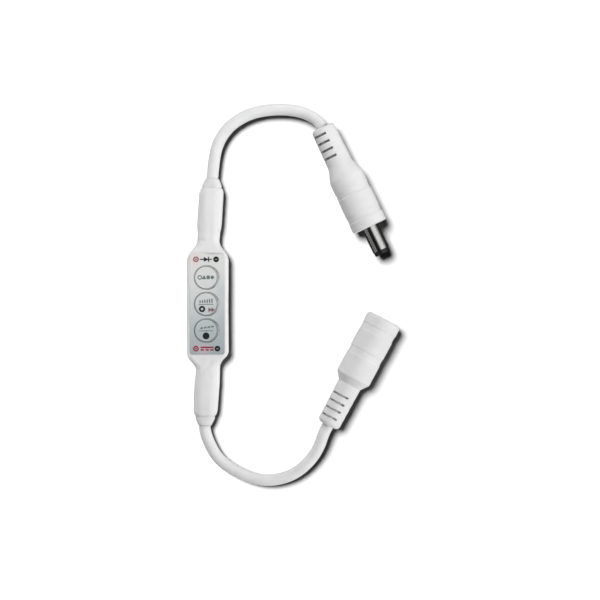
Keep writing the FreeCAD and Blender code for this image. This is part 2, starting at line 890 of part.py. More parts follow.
PLUG = Moulding(
    entry=plug_entry,
    heading=plug_heading,
    roll=plug_roll,
    length=plug_length,
    relief_tip_radius=plug_relief_tip_radius,
    relief_radius=plug_relief_radius,
    relief_round=plug_relief_round,
    relief_length=plug_relief_length,
    flare_length=plug_flare_length,
    flare_round=plug_flare_round,
    front_radius=plug_front_radius,
    taper=plug_taper,
    edge_round=plug_edge_round,
    slot_start=plug_slot_start,
    slot_pitch=plug_slot_pitch,
    slot_width=plug_slot_width,
    slot_arc=plug_slot_arc,
    band_setbacks=plug_band_setbacks,
    core_run=plug_core_run,
)
SOCKET = Moulding(
    entry=socket_entry,
    heading=socket_heading,
    roll=socket_roll,
    length=socket_length,
    relief_tip_radius=socket_relief_tip_radius,
    relief_radius=socket_relief_radius,
    relief_round=socket_relief_round,
    relief_length=socket_relief_length,
    flare_length=socket_flare_length,
    flare_round=socket_flare_round,
    front_radius=socket_front_radius,
    taper=socket_taper,
    edge_round=socket_edge_round,
    slot_start=socket_slot_start,
    slot_pitch=socket_slot_pitch,
    slot_width=socket_slot_width,
    slot_arc=socket_slot_arc,
    band_setbacks=socket_band_setbacks,
    core_run=socket_core_run,
)


def cable_parts(label, moulding, core_end):
    """Save the jacket end and two cores inside a moulding, and return them as they lie along +X."""
    jacket_stop = core_end - moulding.core_run
    pieces = [rod(cable_diameter / 2, 0, jacket_stop)]
    save(label + "_cable_end", lay(pieces[0], *moulding.place))
    for side, colour in ((-1, "black"), (1, "red")):
        core = rod(core_diameter / 2, jacket_stop, core_end, side * core_spacing / 2)
        save(label + "_core_" + colour, lay(core, *moulding.place))
        pieces.append(core)
    return pieces


def plug_tabs(core_end, contact_back, barrel_back):
    """Solder tabs of the barrel and of the inner contact, each on its own core."""
    tab_start = core_end - tab_lap
    core_side = (core_spacing + core_diameter) / 2
    strip = bar(tab_start, barrel_back, -barrel_diameter / 2, -barrel_inner, tab_width)
    foot = bar(tab_start, tab_start + tab_thickness, -barrel_diameter / 2, -core_side, tab_width)
    tab_end = contact_back + contact_back_wall
    contact_tab = bar(tab_start, tab_end, core_side, core_side + tab_thickness, tab_width)
    return [strip.fuse(foot).removeSplitter(), contact_tab]


def make_insulator(face):
    """Insulator between the barrel and the inner contact, with the ring at the plug's tip."""
    barrel_front = face + barrel_reach
    tip_end = face + insulator_reach
    tip = rod(barrel_diameter / 2 - insulator_tip_step, barrel_front, tip_end)
    tip = round_front(tip, tip_end, insulator_tip_round)
    tail_end = face - insulator_tail
    insulator = rod(barrel_inner - contact_fit, tail_end, barrel_front).fuse(tip).removeSplitter()
    seat = rod(contact_outer + contact_fit, tail_end - overrun, face + contact_reach)
    mouth = rod(bore_diameter / 2 + insulator_mouth_gap, face + contact_reach - overrun, tip_end + overrun)
    return insulator.cut([seat, mouth])


def make_plug():
    """Moulded plug with its barrel, insulator and inner contact."""
    face = plug_length
    mould_front = face - barrel_tail
    contact_back = face - contact_tail
    collar_back = face - barrel_collar_back
    collar_front = collar_back + barrel_collar_length
    core_end = contact_back - tab_gap
    barrel = ring(barrel_diameter / 2, barrel_inner, face, face + barrel_reach)
    seat = ring(barrel_seat, barrel_inner, mould_front, face)
    collar = ring(barrel_collar, barrel_inner, collar_back, collar_front)
    contact = rod(contact_outer, contact_back, face + contact_reach)
    tabs = plug_tabs(core_end, contact_back, mould_front)
    barrel = barrel.fuse([seat, collar, tabs[0]]).removeSplitter()
    bore = rod(bore_diameter / 2, contact_back + contact_back_wall, face + contact_reach)
    contact = contact.fuse(tabs[1]).removeSplitter().cut(bore)
    cable = cable_parts("plug", PLUG, core_end)
    mould = rod(PLUG.core_radius, PLUG.body_start, mould_front).cut(cable + tabs)
    mould = mould.cut([rod(barrel_inner, face - insulator_tail, mould_front),
                       rod(contact_outer, contact_back, mould_front)])
    outer = PLUG.shell(mould_front)
    outer = outer.cut([rod(barrel_seat, mould_front, face + overrun),
                       rod(barrel_collar, collar_back, collar_front)])
    save("plug_overmould", lay(outer, *PLUG.place))
    save("plug_core_mould", lay(mould, *PLUG.place))
    save("plug_barrel", lay(barrel, *PLUG.place))
    save("plug_insulator", lay(make_insulator(face), *PLUG.place))
    save("plug_contact", lay(contact, *PLUG.place))


def socket_spring(insert_back, bore_back, insert_front):
    """Bowed leaf that grips the plug's barrel, and the channel that it lies in."""
    base = socket_bore + spring_base_gap
    bow = barrel_diameter / 2 + spring_bow_gap
    stations = [bore_back + (insert_front - bore_back) * share for share in spring_bow]
    line = list(zip([insert_back - spring_tail] + stations, (base, base, bow, base)))
    upper = [(x, z + spring_thickness) for x, z in line]
    outline = [Vector(x, 0, z) for x, z in line + upper[::-1] + line[:1]]
    leaf = Part.Face(Part.makePolygon(outline)).extrude(Vector(0, spring_width, 0))
    leaf.translate(Vector(0, -spring_width / 2, 0))
    channel_width = spring_width + 2 * channel_gap
    channel_top = base + spring_thickness + channel_gap
    channel = Part.makeBox(insert_front - insert_back + overrun, channel_width, channel_top - channel_floor,
                           Vector(insert_back, -channel_width / 2, channel_floor))
    return leaf, channel


def make_pin(insert_back, bore_back):
    """Centre pin with a rounded tip, a seat in the insert's back wall, a collar and a thinner tail."""
    tip = socket_length - pin_recess
    pin = round_front(rod(pin_radius, insert_back, tip), tip, pin_tip_round)
    seat = rod(pin_radius + pin_seat_rim, insert_back, bore_back)
    collar = rod(pin_radius + pin_collar_rim, insert_back - pin_collar_length, insert_back)
    tail = rod(pin_radius - pin_tail_step, insert_back - pin_tail, insert_back)
    return pin.fuse([seat, collar, tail]).removeSplitter()


def make_socket():
    """Moulded socket with its insert, centre pin and spring."""
    insert_front = socket_length - insert_recess
    insert_back = insert_front - insert_length
    bore_back = insert_back + insert_back_wall
    lead_in = insert_front - insert_lead_in
    insert = rod(insert_radius, insert_back, insert_front)
    mouth_radius = socket_bore + insert_lead_in
    mouth = Part.makeCone(socket_bore, mouth_radius, insert_lead_in, Vector(lead_in, 0, 0), ALONG)
    pin = make_pin(insert_back, bore_back)
    spring, channel = socket_spring(insert_back, bore_back, insert_front)
    insert = insert.cut([rod(socket_bore, bore_back, insert_front), mouth, channel, pin])
    cable = cable_parts("socket", SOCKET, insert_back - pin_tail)
    mould = rod(SOCKET.core_radius, SOCKET.body_start, insert_back).cut(cable + [pin, spring])
    outer = SOCKET.shell(insert_back).cut(rod(insert_radius, insert_back, socket_length + overrun))
    save("socket_overmould", lay(outer, *SOCKET.place))
    save("socket_core_mould", lay(mould, *SOCKET.place))
    save("socket_insert", lay(insert, *SOCKET.place))
    save("socket_pin", lay(pin, *SOCKET.place))
    save("socket_spring", lay(spring, *SOCKET.place))


def make_cables():
    """Free stretches of cable, from each inner sleeve to its moulding."""
    routes = (
        ("output_cable", OUT_END, out_first_run, out_route, out_last_run, PLUG),
        ("input_cable", IN_END, in_first_run, in_route, in_last_run, SOCKET),
    )
    for name, end, first_run, middle, last_run, moulding in routes:
        leave = end.point(end.end + gland_stand_out)
        arrive = moulding.place[0]
        points = [leave, leave + direction(end.heading()) * first_run]
        points += [Vector(*point) for point in middle]
        points += [arrive - direction(moulding.heading) * last_run, arrive]
        cable = tube_along(points, cable_diameter)
        length = route_wire(points).Length
        share = cable.Volume / (length * math.pi * cable_diameter ** 2 / 4)
        print(name, "length", round(length, 2), "volume over section times length", round(share, 4))
        radii = [round(radius / cable_diameter, 2) for radius in route_radii(points)]
        print(name, "radii in diameters", radii)
        save(name, cable)


def main():
    """Make every piece in turn."""
    os.makedirs("parts", exist_ok=True)
    make_sleeve()
    make_label()
    make_keys()
    make_domes()
    make_board()
    make_chip()
    make_transistor()
    make_regulator()
    make_small_parts()
    make_cores_and_joints()
    make_glands()
    make_plug()
    make_socket()
    make_cables()


main()
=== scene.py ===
"""Dressed model of a slim in-line dimmer for LED strip, with its plug and its socket.

The meshes are in metres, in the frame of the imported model: the origin is the centre of the sleeve's underside,
+Z is up and +Y runs along the sleeve towards the output cable. Sizes in the classes and their methods are in
millimetres and degrees, unless their text says otherwise.
"""

import fnmatch
import logging
from collections.abc import Iterator
from contextlib import contextmanager
from dataclasses import dataclass, field
from enum import Enum
from math import atan2, cos, exp, pi, radians, sin, sqrt

import bpy
from bpy.types import Collection, Light, Material, Node, NodeSocket, NodeTree, Object
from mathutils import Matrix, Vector, noise


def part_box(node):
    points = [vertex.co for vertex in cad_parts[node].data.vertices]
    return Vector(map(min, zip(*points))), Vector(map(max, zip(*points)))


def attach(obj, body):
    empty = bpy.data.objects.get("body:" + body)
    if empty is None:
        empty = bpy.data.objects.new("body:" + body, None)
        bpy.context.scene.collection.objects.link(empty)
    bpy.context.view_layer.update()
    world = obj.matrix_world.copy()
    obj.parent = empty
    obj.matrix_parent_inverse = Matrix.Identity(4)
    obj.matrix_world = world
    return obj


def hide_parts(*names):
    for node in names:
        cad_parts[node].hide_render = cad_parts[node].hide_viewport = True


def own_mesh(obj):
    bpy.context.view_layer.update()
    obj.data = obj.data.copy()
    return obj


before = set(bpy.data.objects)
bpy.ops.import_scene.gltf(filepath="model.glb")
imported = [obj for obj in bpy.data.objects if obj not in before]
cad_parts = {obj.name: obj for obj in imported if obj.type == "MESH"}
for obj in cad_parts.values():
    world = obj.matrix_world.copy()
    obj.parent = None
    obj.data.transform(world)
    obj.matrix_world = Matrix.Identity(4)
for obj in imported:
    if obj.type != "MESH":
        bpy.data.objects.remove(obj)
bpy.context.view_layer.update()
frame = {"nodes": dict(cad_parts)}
NODES: dict[str, Object] = frame["nodes"]
LOG = logging.getLogger("dimmer")

MM = 0.001
HOUSING = "housing"
KEYS = ("key_lower", "key_middle", "key_upper")
# Sockets of a Mix node in its colour form: both colours and the result
MIX_A, MIX_B, MIX_OUT = 6, 7, 2
# Stretch of the noise that the patches of colour, and those of gloss, are spread over
COLOUR_NOISE = (0.35, 0.65)
GLOSS_NOISE = (0.3, 0.7)
# How much finer the patches of gloss are than those of colour, and by what share they change the roughness
GLOSS_FINER = 1.7
GLOSS_SWING = 0.15

Point = tuple[float, float]
Point3 = tuple[float, float, float]
Colour = tuple[float, float, float, float]
# One coat of colour over those below it: its share, its colour, and how it mixes
Coat = tuple[Node | NodeSocket | float, Node | Colour, str]


def linear(hex_colour: str) -> Colour:
    """Turn an sRGB hex colour into linear light, by the standard's own curve.

    Args:
        hex_colour: six hex digits, such as "f2f2f0".

    Returns:
        The linear red, green, blue and a full alpha.
    """
    shares = [int(hex_colour[i:i + 2], 16) / 255 for i in (0, 2, 4)]
    light = [s / 12.92 if s <= 0.04045 else ((s + 0.055) / 1.055) ** 2.4 for s in shares]
    return light[0], light[1], light[2], 1.0


def feed(tree: NodeTree, node: Node, inputs: dict) -> None:
    """Set or link the inputs of a node.

    Args:
        tree: the node's tree.
        node: the node to feed.
        inputs: values, or what to link from, by input name or index. A node stands for its first output.
    """
    for name, value in inputs.items():
        if isinstance(value, (Node, NodeSocket)):
            tree.links.new(value.outputs[0] if isinstance(value, Node) else value, node.inputs[name])
        else:
            node.inputs[name].default_value = value


def add_node(tree: NodeTree, kind: str, inputs: dict | None = None, **settings: object) -> Node:
    """Add a shader node with its settings and its links.

    Args:
        tree: the material's or the world's node tree.
        kind: the node's type name without its prefix.
        inputs: what feeds it.
        settings: attributes of the node itself.

    Returns:
        The new node.
    """
    node = tree.nodes.new("ShaderNode" + kind)
    for name, value in settings.items():
        setattr(node, name, value)
    feed(tree, node, inputs or {})
    return node


def fill_ramp(node: Node, stops: list[tuple[float, Colour]]) -> None:
    """Give a colour ramp its stops.

    Args:
        node: the ramp's node.
        stops: place from 0 to 1 and linear colour of each stop.
    """
    steps = node.color_ramp.elements
    while len(steps) < len(stops):
        steps.new(1.0)
    for step, (position, colour) in zip(steps, stops):
        step.position = position
        step.color = colour


class Relief(Enum):
    """How a surface was made, which sets the direction of its fine relief."""

    EVEN = (1.0, 1.0, 1.0)
    DRAWN = (0.08, 1.0, 1.0)
    TURNED = (6.0, 0.15, 0.15)


@dataclass(frozen=True)
class Finish:
    """One real surface: what it is made of, how it was made and what the eye sees of it."""

    name: str  # The material's common name and how its surface was made
    colour: str  # Main colour in sRGB hex
    shade: str  # The colour that the main one drifts to
    roughness: float  # Middle of the roughness
    drift: float  # Size of the patches in which the colour and gloss drift
    grain: float  # Size of the fine relief
    depth: float  # Height of the fine relief
    relief: Relief = Relief.EVEN  # Direction of the fine relief
    heading: float = 0.0  # Turn in plan of the axis that the relief follows
    metallic: float = 0.0  # 1 on bare or plated metal
    shader: dict[str, object] = field(default_factory=dict)  # Further constants, set on the shader's own sockets

    def coats(self, tree: NodeTree, place: Node) -> list[Coat]:
        """Coats of colour over the main one: its shade, in soft patches.

        Args:
            tree: the material's node tree.
            place: node that gives the object's coordinates.

        Returns:
            The coats, the lowest first.
        """
        patches = add_node(tree, "TexNoise", {
            "Vector": place, "Scale": 1 / (self.drift * MM), "Detail": 3.0, "Roughness": 0.55})
        share = add_node(tree, "MapRange", {
            "Value": patches, "From Min": COLOUR_NOISE[0], "From Max": COLOUR_NOISE[1]})
        return [(share, linear(self.shade), "MIX")]

    def material(self) -> Material:
        """Build the material once.

        Returns:
            The material, which later calls find by its name.
        """
        made = bpy.data.materials.get(self.name)
        if made:
            return made
        made = bpy.data.materials.new(self.name)
        made.use_nodes = True
        tree = made.node_tree
        place = add_node(tree, "Mapping", {
            "Vector": add_node(tree, "TexCoord").outputs["Object"], "Rotation": (0.0, 0.0, radians(-self.heading))})
        colour = linear(self.colour)
        for share, coat, way in self.coats(tree, place):
            colour = add_node(tree, "Mix", {"Factor": share, MIX_A: colour, MIX_B: coat}, data_type="RGBA",
                              blend_type=way).outputs[MIX_OUT]
        gloss = add_node(tree, "TexNoise", {"Vector": place, "Scale": GLOSS_FINER / (self.drift * MM), "Detail": 4.0})
        rough = add_node(tree, "MapRange", {
            "Value": gloss, "From Min": GLOSS_NOISE[0], "From Max": GLOSS_NOISE[1],
            "To Min": self.roughness * (1 - GLOSS_SWING), "To Max": self.roughness * (1 + GLOSS_SWING)})
        stretched = add_node(tree, "Mapping", {"Vector": place, "Scale": self.relief.value})
        fine = add_node(tree, "TexNoise", {"Vector": stretched, "Scale": 1 / (self.grain * MM), "Detail": 2.0})
        bump = add_node(tree, "Bump", {"Height": fine, "Strength": 1.0, "Distance": self.depth * MM})
        feed(tree, tree.nodes["Principled BSDF"], {
            "Base Color": colour, "Roughness": rough, "Normal": bump, "Metallic": self.metallic, **self.shader})
        return made


@dataclass(frozen=True)
class BandedFinish(Finish):
    """A finish with a second material at regular stations along X, such as the metal ends of ceramic chips."""

    pitch: float = 1.0  # Distance between the middles of two parts
    shift: float = 0.0  # Place of one part's middle
    body: float = 0.5  # Half length of the part between its ends
    end_colour: str = "c9c7c2"  # Colour of the metal ends

    def coats(self, tree: NodeTree, place: Node) -> list[Coat]:
        """The body's coats and then its metal ends, by the distance from the part's middle."""
        split = add_node(tree, "SeparateXYZ", {"Vector": place})
        moved = add_node(tree, "Math", {0: split.outputs["X"], 1: self.shift * MM}, operation="SUBTRACT")
        away = add_node(tree, "Math", {0: moved, 1: self.pitch / 2 * MM}, operation="PINGPONG")
        is_end = add_node(tree, "Math", {0: away, 1: self.body * MM}, operation="GREATER_THAN")
        return [*super().coats(tree, place), (is_end, linear(self.end_colour), "MIX")]


@dataclass(frozen=True)
class TrackedFinish(Finish):
    """Solder mask over copper tracks, which show as lighter lines through it."""

    track_colour: str = "2f8a4c"  # Colour of the mask over copper
    pitch: float = 1.6  # Distance between tracks
    stretch: float = 4.96  # Length of a track between two crossings
    width: float = 0.16  # Width of a track
    edge: float = 0.2  # Share of that width over which a track fades

    def coats(self, tree: NodeTree, place: Node) -> list[Coat]:
        """The bare mask's coats and then lighter tracks in a grid of bricks."""
        tracks = add_node(tree, "TexBrick", {
            "Vector": place, "Scale": 1.0, "Brick Width": self.stretch * MM, "Row Height": self.pitch * MM,
            "Mortar Size": self.width * MM, "Mortar Smooth": self.edge})
        return [*super().coats(tree, place), (tracks.outputs["Fac"], linear(self.track_colour), "MIX")]


@dataclass(frozen=True)
class Tint:
    """A soft oval on the label in which the film takes another tint; it can also hold painted shade."""

    centre: Point  # Its middle
    reach: Point  # Its half width and half length
    colour: str  # Its tint
    strength: float  # Share of the tint in the middle


@dataclass(frozen=True)
class TintedFinish(Finish):
    """Printed film whose tint changes slowly along the label and in a few soft ovals, which can also hold painted
    shade.
    """

    reach: float = 17.0  # Half length over which the tint changes
    ramp: tuple[str, ...] = ("ffffff", "ffffff")  # Tints from the input end to the output end, evenly spread
    tints_and_shade: tuple[Tint, ...] = ()  # Soft ovals of another tint; one can also hold painted shade

    def coats(self, tree: NodeTree, place: Node) -> list[Coat]:
        """The film's own coats, then the ramp along Y, and then the ovals."""
        split = add_node(tree, "SeparateXYZ", {"Vector": place})
        share = add_node(tree, "MapRange", {
            "Value": split.outputs["Y"], "From Min": -self.reach * MM, "From Max": self.reach * MM})
        band = add_node(tree, "ValToRGB", {"Fac": share})
        fill_ramp(band, [(index / (len(self.ramp) - 1), linear(tint)) for index, tint in enumerate(self.ramp)])
        coats = [*super().coats(tree, place), (1.0, band, "MULTIPLY")]
        flat = add_node(tree, "VectorMath", {0: place, 1: (1.0, 1.0, 0.0)}, operation="MULTIPLY")
        for tint in self.tints_and_shade:
            local = add_node(tree, "Mapping", {
                "Vector": flat, "Location": (tint.centre[0] * MM, tint.centre[1] * MM, 0.0),
                "Scale": (tint.reach[0] * MM, tint.reach[1] * MM, 1.0)}, vector_type="TEXTURE")
            away = add_node(tree, "VectorMath", {0: local}, operation="LENGTH")
            near = add_node(tree, "MapRange", {
                "Value": away.outputs["Value"], "To Min": tint.strength, "To Max": 0.0},
                interpolation_type="SMOOTHSTEP")
            coats.append((near, linear(tint.colour), "MIX"))
        return coats


@dataclass(frozen=True)
class SlottedFinish(Finish):
    """Finish of a moulding whose relief slots are darkened near the cable by painted shade and dust."""

    entry: Point3 = (0.0, 0.0, 0.0)  # Place at which the cable enters the moulding
    inside: Point = (2.9, 3.75)  # Distances from the axis at which the painted shade and dust are full and at which they end
    shade_and_dust: str = "c4c4c4"  # Colour of the painted shade and dust in the slots

    def coats(self, tree: NodeTree, place: Node) -> list[Coat]:
        """The skin's coats and then painted shade and dust close to the axis, which lies along the turned X."""
        turn = radians(-self.heading)
        x, y, z = (value * MM for value in self.entry)
        centre = (x * cos(turn) - y * sin(turn), x * sin(turn) + y * cos(turn), z)
        away = add_node(tree, "VectorMath", {0: place, 1: centre}, operation="SUBTRACT")
        across = add_node(tree, "VectorMath", {0: away, 1: (0.0, 1.0, 1.0)}, operation="MULTIPLY")
        radius = add_node(tree, "VectorMath", {0: across}, operation="LENGTH")
        share = add_node(tree, "MapRange", {
            "Value": radius.outputs["Value"], "From Min": self.inside[0] * MM, "From Max": self.inside[1] * MM,
            "To Min": 1.0, "To Max": 0.0})
        return [*super().coats(tree, place), (share, linear(self.shade_and_dust), "MIX")]


@dataclass(frozen=True)
class InkFinish(Finish):
    """Screen-printing ink, with the roughness, patches and relief that all the inks share."""

    roughness: float = 0.6
    drift: float = 0.5
    grain: float = 0.08
    depth: float = 0.002


def milky(ior: float, share: float, depth: float) -> dict[str, object]:
    """Shader constants of a white plastic that light enters a little.

    Args:
        ior: its index of refraction.
        share: share of the light that enters it.
        depth: how deep the light goes.

    Returns:
        The constants by the socket's name.
    """
    return {"IOR": ior, "Subsurface Weight": share, "Subsurface Scale": depth * MM,
            "Subsurface Radius": (1.0, 1.0, 1.0)}


PLUG_HEADING = -64.4
SOCKET_HEADING = 61.9

# Heat-shrunk polyolefin tube: soft satin white, a little uneven where it has drawn in
SLEEVE_FINISH = Finish(
    "heat_shrunk_polyolefin", "f8f8f8", "f4f4f4", 0.42, 6.0, 0.9, 0.012, Relief.DRAWN, 90.0,
    shader={"Specular IOR Level": 0.4, **milky(1.49, 0.6, 0.9)})
# The same tube in a thinner gauge: a touch glossier where it is stretched over the cable
INNER_SLEEVE_FINISH = Finish(
    "heat_shrunk_thin_tube", "f2f2f2", "ededed", 0.38, 3.0, 0.7, 0.008, shader=milky(1.49, 0.6, 0.9))
# Polyester film printed in silver from behind: satin, with the faint flake of metallic ink, and a band of painted
# shade along its top end
LABEL_FINISH = TintedFinish(
    "silver_printed_polyester", "fcfcfc", "f6f7f7", 0.36, 4.0, 0.12, 0.002, metallic=0.08,
    shader={"IOR": 1.57, "Coat Weight": 0.25, "Coat Roughness": 0.2},
    ramp=("aeb6ba", "d0d7d8", "ebeeed", "f5f4f2"),
    tints_and_shade=(Tint((-4.2, 13.9), (3.2, 3.4), "f6e4e4", 0.9), Tint((-1.6, -14.4), (4.6, 2.4), "dfc3ca", 0.7),
           # The darker grey oval at (1.9, 16.4), along the label's top end, is painted shade where the film bends down
           # over the shoulder.
           Tint((1.3, -1.9), (2.2, 1.7), "d2bcc2", 0.7), Tint((1.9, 16.4), (4.6, 1.0), "aeafb0", 0.8),
           Tint((5.0, -8.0), (4.2, 13.0), "aebbc0", 0.5), Tint((4.4, 4.5), (4.0, 7.0), "c0cccf", 0.4)))
# Extruded soft PVC: even satin white with faint draw lines along the cable
CABLE_FINISH = Finish("extruded_soft_pvc", "f2f2f2", "ededed", 0.4, 5.0, 0.35, 0.006, shader=milky(1.53, 0.8, 1.5))
# Injection-moulded soft PVC: fine spark-eroded skin that breaks up the highlights, with painted shade and dust in the
# plug's slots
PLUG_MOULDING_FINISH = SlottedFinish(
    "moulded_soft_pvc_plug", "f0f0f0", "ebebeb", 0.45, 4.0, 0.25, 0.01, heading=PLUG_HEADING, shader={"IOR": 1.53},
    entry=(36.55, 56.45, 5.78))
SOCKET_MOULDING_FINISH = Finish(
    "moulded_soft_pvc_socket", "f0f0f0", "ebebeb", 0.46, 4.0, 0.25, 0.01, heading=SOCKET_HEADING,
    shader={"IOR": 1.53})
# Natural polyethylene as it comes from the mould: milky and waxy
INNER_MOULD_FINISH = Finish(
    "moulded_natural_polyethylene", "e3e1d6", "d9d7cb", 0.5, 3.0, 0.3, 0.01, shader={"IOR": 1.51})
# Glass-fibre board with liquid solder mask: deep green, lighter over the copper
BOARD_FINISH = TrackedFinish(
    "solder_masked_glass_fibre", "1d5c33", "194f2c", 0.35, 3.0, 0.2, 0.006, shader={"IOR": 1.55, "Coat Weight": 0.4})
# Epoxy moulding compound: matt black with a fine sand-like skin
CASE_FINISH = Finish("epoxy_moulding_compound", "232326", "1c1c1f", 0.6, 1.2, 0.08, 0.006)
# Fired ceramic chips: dull bodies between light tin-plated ends
CAPACITOR_FINISH = BandedFinish(
    "fired_ceramic_capacitor", "a2835c", "977a55", 0.45, 0.8, 0.06, 0.003, pitch=3.4, body=0.65)
RESISTOR_FINISH = BandedFinish(
    "glazed_ceramic_resistor", "1f1f22", "27272b", 0.4, 0.6, 0.06, 0.003, pitch=2.5, shift=1.25, body=0.45)
# Tin plate over copper: bright, softly clouded
TIN_FINISH = Finish("tin_plated_copper", "cfcdc8", "c4c2bd", 0.28, 0.8, 0.1, 0.003, metallic=1.0)
# Solder that has flowed and set: bright with a wavy skin
SOLDER_FINISH = Finish("reflowed_solder", "c8c8c6", "b9b9b8", 0.22, 0.6, 0.4, 0.02, metallic=1.0)
# Stamped spring steel: fine rolling marks across the dome
DOME_FINISH = Finish("stamped_stainless_steel", "c4c2be", "bab8b4", 0.25, 1.5, 0.15, 0.003, Relief.DRAWN, metallic=1.0)
# Thin gold over nickel on copper pads: warm and bright
GOLD_FINISH = Finish("gold_plated_pads", "d9ac4e", "cfa046", 0.25, 1.0, 0.15, 0.003, metallic=1.0)
# Clear polyester film: thin, with a soft bluish cast
SPACER_FINISH = Finish(
    "clear_polyester_film", "dfe6ea", "d5dee3", 0.2, 3.0, 0.3, 0.002,
    shader={"IOR": 1.57, "Transmission Weight": 0.6})
# PVC insulation of the two cores: smooth, with a faint gloss
RED_CORE_FINISH = Finish("red_pvc_insulation", "b3201f", "a31b1b", 0.38, 1.5, 0.3, 0.006)
BLACK_CORE_FINISH = Finish("black_pvc_insulation", "1e1e20", "262628", 0.38, 1.5, 0.3, 0.006)
# Turned brass with bright nickel: mirror gloss broken by the tool's fine rings
BARREL_FINISH = Finish(
    "bright_nickel_on_turned_brass", "d6d6d4", "cdcdcc", 0.14, 1.5, 0.25, 0.0015, Relief.TURNED, PLUG_HEADING,
    metallic=1.0)
PIN_FINISH = Finish(
    "bright_nickel_on_turned_pin", "d6d4cf", "cbc9c5", 0.16, 1.2, 0.2, 0.0015, Relief.TURNED, SOCKET_HEADING,
    metallic=1.0)
# Nickel over phosphor bronze and over spring steel: slightly warm, drawn smooth
CONTACT_FINISH = Finish(
    "nickel_on_phosphor_bronze", "cfccc4", "c4c0b6", 0.2, 1.2, 0.2, 0.002, Relief.DRAWN, PLUG_HEADING, metallic=1.0)
SPRING_FINISH = Finish(
    "nickel_plated_spring_steel", "c9c7c2", "bfbdb8", 0.24, 1.2, 0.2, 0.002, Relief.DRAWN, SOCKET_HEADING,
    metallic=1.0)
# Moulded nylon: dense black with a low sheen
INSULATOR_FINISH = Finish("moulded_black_nylon_tip", "1b1b1d", "222225", 0.35, 1.5, 0.15, 0.004)
INSERT_FINISH = Finish("moulded_black_nylon_insert", "1d1d1f", "252528", 0.42, 2.0, 0.2, 0.006)
# The finish of the CAD nodes that stay in view, by the pattern of their names
NODE_FINISHES = {
    "key_*": LABEL_FINISH, "dome_contacts": GOLD_FINISH, "dome_spacer": SPACER_FINISH, "circuit_board": BOARD_FINISH,
    "control_chip": CASE_FINISH, "power_transistor": CASE_FINISH, "voltage_regulator": CASE_FINISH,
    "*_leads": TIN_FINISH, "solder_joints": SOLDER_FINISH, "chip_capacitors": CAPACITOR_FINISH,
    "chip_resistors": RESISTOR_FINISH, "*_core_red": RED_CORE_FINISH, "*_core_black": BLACK_CORE_FINISH,
    "*_jacket_end": CABLE_FINISH, "*_cable_end": CABLE_FINISH, "plug_overmould": PLUG_MOULDING_FINISH,
    "socket_overmould": SOCKET_MOULDING_FINISH, "*_core_mould": INNER_MOULD_FINISH, "plug_barrel": BARREL_FINISH,
    "plug_insulator": INSULATOR_FINISH, "plug_contact": CONTACT_FINISH, "socket_insert": INSERT_FINISH,
    "socket_pin": PIN_FINISH, "socket_spring": SPRING_FINISH,
}


def choose(piece: Object) -> None:
    """Make one piece the only selected and active object."""
    bpy.ops.object.select_all(action="DESELECT")
    piece.select_set(True)
    bpy.context.view_layer.objects.active = piece


@contextmanager
def editing() -> Iterator[None]:
    """Open the active object in edit mode with all of it selected, and close it afterwards."""
    bpy.ops.object.mode_set(mode="EDIT")
    bpy.ops.mesh.select_all(action="SELECT")
    yield
    bpy.ops.object.mode_set(mode="OBJECT")


def apply_modifier(piece: Object, kind: str, **settings: object) -> None:
    """Add a modifier with its settings and apply it at once.

    Args:
        piece: the object to change.
        kind: the modifier's type.
        settings: attributes of the modifier.
    """
    choose(piece)
    modifier = piece.modifiers.new(kind.title(), kind)
    for name, value in settings.items():
        setattr(modifier, name, value)
    bpy.ops.object.modifier_apply(modifier=modifier.name)


def settle(piece: Object, name: str, body: str, finish: Finish) -> None:
    """Give a new piece its name, its finish's material and its body, with its place in its mesh.

    Args:
        piece: the finished object.
        name: its name.
        body: CAD body that it rides on.
        finish: its surface.
    """
    choose(piece)
    bpy.ops.object.transform_apply()
    piece.name = name
    piece.data.name = name
    piece.data.materials.clear()
    piece.data.materials.append(finish.material())
    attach(piece, body)
    LOG.info("%s rides on %s", name, body)


def hang(name: str, data: bpy.types.ID) -> Object:
    """Put a new object with this data into the scene."""
    piece = bpy.data.objects.new(name, data)
    bpy.context.scene.collection.objects.link(piece)
    return piece


def copy_of(node: str, merge: float = 0.002) -> Object:
    """Copy a CAD node's mesh into a new object with its doubled vertices merged.

    Args:
        node: name of the CAD node.
        merge: distance within which vertices become one.

    Returns:
        The new object.
    """
    piece = hang(node + "_copy", NODES[node].data.copy())
    choose(piece)
    with editing():
        bpy.ops.mesh.remove_doubles(threshold=merge * MM)
    return piece


def soft_skin(node: str, voxel: float, passes: int) -> Object:
    """Rebuild a CAD tube as one soft skin without hard edges.

    Args:
        node: name of the CAD node.
        voxel: grid of the rebuilt skin.
        passes: how often it is smoothed.

    Returns:
        The rebuilt tube.
    """
    piece = copy_of(node)
    apply_modifier(piece, "REMESH", mode="VOXEL", voxel_size=voxel * MM, use_smooth_shade=True)
    apply_modifier(piece, "SMOOTH", factor=0.5, iterations=passes)
    choose(piece)
    bpy.ops.object.shade_smooth()
    return piece


@dataclass(frozen=True)
class Lamp:
    """One soft lamp, turned to the middle of the view."""

    name: str  # Its name
    power: float  # Its power in watts, or a sun's strength
    heading: float  # Its direction in plan
    rise: float  # Its angle above the floor
    distance: float  # Its distance in metres
    size: Point = (0.25, 0.25)  # Width and height in metres of its softbox


